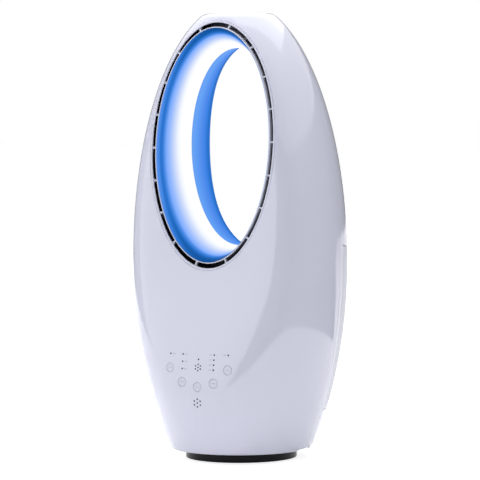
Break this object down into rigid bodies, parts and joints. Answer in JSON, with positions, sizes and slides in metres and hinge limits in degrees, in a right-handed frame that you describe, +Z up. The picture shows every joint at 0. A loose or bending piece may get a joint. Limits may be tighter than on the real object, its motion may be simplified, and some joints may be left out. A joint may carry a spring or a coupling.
{
  "type": "bladeless fan",
  "caption": "Egg-shaped white bladeless fan with an oval see-through opening, glowing blue-white inner ring, lower front key panel and a round black swivel base.",
  "frame": {"origin": "centre of the underside of the foot ring, on the vertical axis about which the tower swivels", "axes": "+Z is up; the front with the air slot and the keys looks along -Y; +X is to the right of someone facing the front"},
  "size_m": [0.286, 0.229, 0.59],
  "materials": {
    "shell_white": "high gloss moulded",
    "grille_white": "satin moulded",
    "key_white": "gloss moulded",
    "light_diffuser": "translucent, lit from behind",
    "base_black": "semi-gloss moulded",
    "duct_black": "matte moulded",
    "foot_rubber": "matte",
    "steel": "plated",
    "brass": "turned",
    "nylon": "natural moulded",
    "grey_plastic": "moulded",
    "circuit_board": "solder mask",
    "filter_cloth": "fine mesh"
  },
  "bodies": {
    "base": {"foot_ring": "foot_rubber", "base_plate": "steel", "base_cover": "base_black", "base_hub": "steel", "fixed_gear": "nylon", "hub_lock_ring": "steel", "hub_screw_1": "steel", "hub_screw_2": "steel", "hub_screw_3": "steel"},
    "tower": {"body_floor": "grey_plastic", "glide_ring": "nylon", "swivel_bush": "brass", "gear_bridge": "steel", "swivel_motor": "steel", "bridge_screw_1": "steel", "bridge_screw_2": "steel", "duct_deck": "grey_plastic", "blower_housing": "grey_plastic", "inlet_bellmouth": "grey_plastic", "fan_motor": "steel", "lower_bearing": "steel", "upper_bearing": "steel", "motor_damper": "foot_rubber", "diffuser": "grey_plastic", "blower_screw_1": "steel", "blower_screw_2": "steel", "blower_screw_3": "steel", "front_light_ring": "light_diffuser", "rear_light_ring": "light_diffuser", "light_carrier": "duct_black", "light_strip": "circuit_board", "outlet_spacer": "shell_white", "nozzle_liner": "duct_black", "control_board": "circuit_board", "buzzer": "duct_black", "light_guide": "nylon", "board_screw_1": "steel", "board_screw_2": "steel", "front_shell": "shell_white", "rear_shell": "shell_white", "intake_grille": "grille_white", "filter_mesh": "filter_cloth", "power_socket": "duct_black", "power_board": "circuit_board", "shell_screw_1": "steel", "shell_screw_2": "steel", "shell_screw_3": "steel", "shell_screw_4": "steel", "shell_screw_5": "steel", "shell_screw_6": "steel"},
    "pinion": {"drive_pinion": "nylon"},
    "rotor": {"impeller": "nylon", "motor_shaft": "steel", "impeller_nut": "brass"},
    "light_key_body": {"light_key": "key_white"},
    "mode_key_body": {"mode_key": "key_white"},
    "power_key_body": {"power_key": "key_white"},
    "timer_key_body": {"timer_key": "key_white"},
    "swing_key_body": {"swing_key": "key_white"}
  },
  "joints": [
    {"name": "base_swivel", "type": "hinge", "parent": "base", "child": "tower", "pos_m": [0, 0, 0.014], "axis": [0, 0, 1], "range_deg": [-40, 40]},
    {"name": "pinion_spin", "type": "hinge", "parent": "tower", "child": "pinion", "pos_m": [0.045, 0, 0.03], "axis": [0, 0, 1], "range_deg": [-160, 160]},
    {"name": "impeller_spin", "type": "hinge", "parent": "tower", "child": "rotor", "pos_m": [0, 0, 0.12], "axis": [0, 0, 1], "continuous": true},
    {"name": "light_key_press", "type": "slide", "parent": "tower", "child": "light_key_body", "axis": [0, 0.9945, -0.1051], "range_m": [0, 0.0008], "stiffness_N_per_m": 600},
    {"name": "mode_key_press", "type": "slide", "parent": "tower", "child": "mode_key_body", "axis": [0, 0.9945, -0.1051], "range_m": [0, 0.0008], "stiffness_N_per_m": 600},
    {"name": "power_key_press", "type": "slide", "parent": "tower", "child": "power_key_body", "axis": [0, 0.9945, -0.1051], "range_m": [0, 0.0008], "stiffness_N_per_m": 600},
    {"name": "timer_key_press", "type": "slide", "parent": "tower", "child": "timer_key_body", "axis": [0, 0.9945, -0.1051], "range_m": [0, 0.0008], "stiffness_N_per_m": 600},
    {"name": "swing_key_press", "type": "slide", "parent": "tower", "child": "swing_key_body", "axis": [0, 0.9945, -0.1051], "range_m": [0, 0.0008], "stiffness_N_per_m": 600}
  ],
  "couplings": [
    {"joint": "pinion_spin", "follows": "base_swivel", "ratio": 4}
  ]
}
